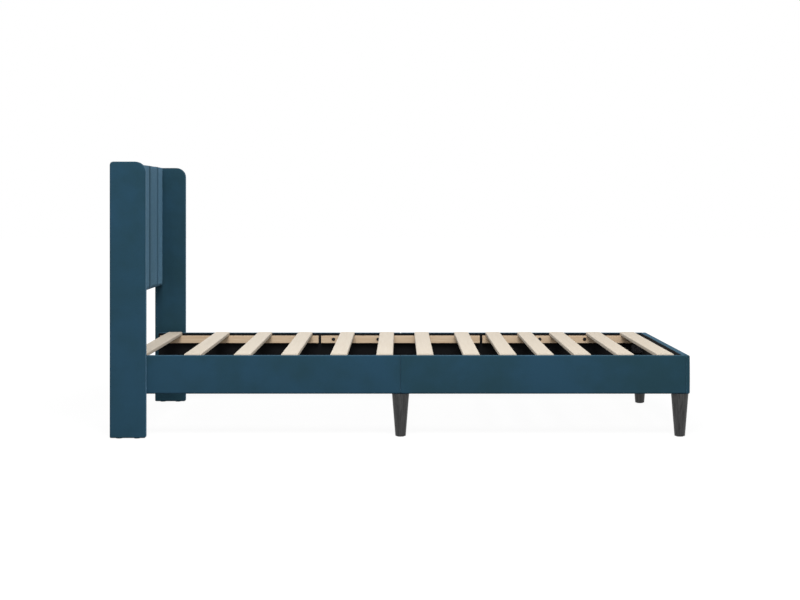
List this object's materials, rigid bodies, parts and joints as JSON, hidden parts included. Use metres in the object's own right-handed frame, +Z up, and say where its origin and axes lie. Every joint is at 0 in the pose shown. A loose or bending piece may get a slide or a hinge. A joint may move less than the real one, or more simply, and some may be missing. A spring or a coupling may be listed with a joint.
{
  "type": "upholstered platform bed frame",
  "caption": "Single platform bed with velvet-covered wingback headboard in upright channels, padded rails, slats on battens and tapered legs.",
  "frame": {"origin": "on the floor, under the middle of the bed's bounding box", "axes": "+X from the head to the foot, +Y to the sleeper's left, +Z up"},
  "size_m": [2.066, 1.064, 0.984],
  "materials": {
    "velvet": "short-pile velvet over foam",
    "lining_cloth": "black non-woven lining",
    "frame_timber": "raw softwood and plywood",
    "batten_timber": "planed, unfinished",
    "slat_timber": "planed pale wood, unfinished",
    "stained_leg_wood": "turned wood, black stain, satin",
    "black_steel": "black oxide",
    "zinc_steel": "bright zinc plate",
    "glide_plastic": "moulded black"
  },
  "bodies": {
    "root": {"left_wing_cover": "velvet", "right_wing_cover": "velvet", "headboard_channel_pad": "velvet", "left_head_rail_cover": "velvet", "left_foot_rail_cover": "velvet", "right_head_rail_cover": "velvet", "right_foot_rail_cover": "velvet", "foot_rail_cover": "velvet", "left_head_rail_lining": "lining_cloth", "left_foot_rail_lining": "lining_cloth", "right_head_rail_lining": "lining_cloth", "right_foot_rail_lining": "lining_cloth", "foot_rail_lining": "lining_cloth", "headboard_back_cloth": "lining_cloth", "left_wing_core": "frame_timber", "right_wing_core": "frame_timber", "left_head_rail_core": "frame_timber", "left_foot_rail_core": "frame_timber", "right_head_rail_core": "frame_timber", "right_foot_rail_core": "frame_timber", "foot_rail_core": "frame_timber", "headboard_left_stile": "frame_timber", "headboard_right_stile": "frame_timber", "headboard_top_member": "frame_timber", "headboard_bottom_member": "frame_timber", "headboard_uprights": "frame_timber", "headboard_board": "frame_timber", "leg_blocks": "frame_timber", "left_head_batten": "batten_timber", "left_centre_batten": "batten_timber", "left_foot_batten": "batten_timber", "right_head_batten": "batten_timber", "right_centre_batten": "batten_timber", "right_foot_batten": "batten_timber", "slat_01": "slat_timber", "slat_02": "slat_timber", "slat_03": "slat_timber", "slat_04": "slat_timber", "slat_05": "slat_timber", "slat_06": "slat_timber", "slat_07": "slat_timber", "slat_08": "slat_timber", "slat_09": "slat_timber", "slat_10": "slat_timber", "slat_11": "slat_timber", "slat_12": "slat_timber", "slat_13": "slat_timber", "left_mid_leg": "stained_leg_wood", "left_foot_leg": "stained_leg_wood", "right_mid_leg": "stained_leg_wood", "right_foot_leg": "stained_leg_wood", "batten_bolts": "black_steel", "wing_bolts": "black_steel", "headboard_bolts": "black_steel", "corner_brackets": "black_steel", "corner_bracket_screws": "black_steel", "insert_nuts": "zinc_steel", "leg_hanger_bolts": "zinc_steel", "floor_glides": "glide_plastic"}
  },
  "joints": []
}
